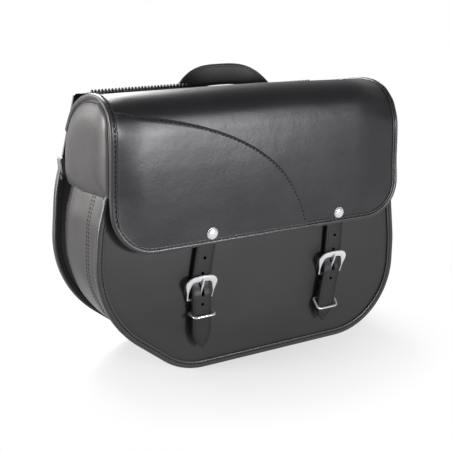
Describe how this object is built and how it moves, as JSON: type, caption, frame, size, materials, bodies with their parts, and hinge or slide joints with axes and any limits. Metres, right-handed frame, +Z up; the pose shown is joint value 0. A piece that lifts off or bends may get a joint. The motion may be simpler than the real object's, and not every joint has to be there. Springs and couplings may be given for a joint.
{
  "type": "motorcycle saddlebag",
  "caption": "Leather motorcycle saddlebag: bound box body, padded lid with a long front flap, two buckled closing straps, carrying handle and bolt-on back plate.",
  "frame": {"origin": "centre of the bolt pattern on the rear face of the back plate", "axes": "+X along the bag to its right as seen from the front, +Y out of the back towards the motorcycle, +Z up; the flap and straps face -Y"},
  "size_m": [0.3829, 0.1578, 0.312],
  "materials": {
    "leather": "smooth, semi-gloss, fine grain",
    "edge_leather": "smooth, semi-gloss",
    "grey_leather": "satin",
    "board": "matte",
    "lining": "woven",
    "tape": "woven",
    "zip_plastic": "moulded",
    "foam": "soft",
    "plate": "satin black powder coat",
    "steel": "plated",
    "chrome": "polished"
  },
  "bodies": {
    "bag": {"back_plate": "plate", "back_panel": "leather", "back_stiffener": "board", "back_binding": "edge_leather", "gusset": "leather", "front_panel": "leather", "front_stiffener": "board", "front_binding": "edge_leather", "mouth_trim": "edge_leather", "lining": "lining", "base_board": "board", "grommets": "steel", "zip_tape": "tape", "zip_teeth": "zip_plastic", "zip_pin_box": "zip_plastic", "handle_tabs": "leather", "handle_rivets": "chrome", "flange_tabs": "grey_leather", "snap_stud_left": "steel", "snap_stud_right": "steel"},
    "handle": {"handle": "leather"},
    "lid": {"lid_shell": "leather", "lid_binding": "edge_leather", "lid_overlay": "leather", "lid_stiffener": "board", "end_cap_left": "leather", "end_cap_right": "leather", "cap_foam_left": "foam", "cap_foam_right": "foam", "cap_rivets": "chrome", "flap_rivets": "chrome", "strap_root_left": "leather", "strap_root_right": "leather"},
    "strap_left": {"strap_left": "leather", "chape_left": "edge_leather", "snap_socket_left": "steel"},
    "buckle_left": {"buckle_frame_left": "chrome"},
    "prong_left": {"buckle_prong_left": "chrome"},
    "keeper_left": {"keeper_left": "chrome"},
    "strap_right": {"strap_right": "leather", "chape_right": "edge_leather", "snap_socket_right": "steel"},
    "buckle_right": {"buckle_frame_right": "chrome"},
    "prong_right": {"buckle_prong_right": "chrome"},
    "keeper_right": {"keeper_right": "chrome"}
  },
  "joints": [
    {"name": "lid_hinge", "type": "hinge", "parent": "bag", "child": "lid", "pos_m": [0, -0.01, 0.118], "axis": [-1, 0, 0], "range_deg": [0, 95]},
    {"name": "handle_hinge", "type": "hinge", "parent": "bag", "child": "handle", "pos_m": [0.02, 0.0028, 0.091], "axis": [1, 0, 0], "range_deg": [-90, 0]},
    {"name": "strap_swing_left", "type": "hinge", "parent": "lid", "child": "strap_left", "pos_m": [-0.07999, -0.13325, -0.0248], "axis": [-1, 0, 0], "range_deg": [0, 60]},
    {"name": "buckle_tilt_left", "type": "hinge", "parent": "strap_left", "child": "buckle_left", "pos_m": [-0.08772, -0.1302, -0.0825], "axis": [1, 0, 0], "range_deg": [0, 10]},
    {"name": "prong_tilt_left", "type": "hinge", "parent": "buckle_left", "child": "prong_left", "pos_m": [-0.08772, -0.1302, -0.0825], "axis": [1, 0, 0], "range_deg": [0, 6]},
    {"name": "keeper_tilt_left", "type": "hinge", "parent": "strap_left", "child": "keeper_left", "pos_m": [-0.088, -0.1289, -0.0975], "axis": [1, 0, 0], "range_deg": [-49, 38]},
    {"name": "strap_swing_right", "type": "hinge", "parent": "lid", "child": "strap_right", "pos_m": [0.08779, -0.13325, -0.0248], "axis": [-1, 0, 0], "range_deg": [0, 60]},
    {"name": "buckle_tilt_right", "type": "hinge", "parent": "strap_right", "child": "buckle_right", "pos_m": [0.08357, -0.1302, -0.0825], "axis": [1, 0, 0], "range_deg": [0, 10]},
    {"name": "prong_tilt_right", "type": "hinge", "parent": "buckle_right", "child": "prong_right", "pos_m": [0.08357, -0.1302, -0.0825], "axis": [1, 0, 0], "range_deg": [0, 6]},
    {"name": "keeper_tilt_right", "type": "hinge", "parent": "strap_right", "child": "keeper_right", "pos_m": [0.0761, -0.1289, -0.111], "axis": [1, 0, 0], "range_deg": [-70, 0]}
  ]
}
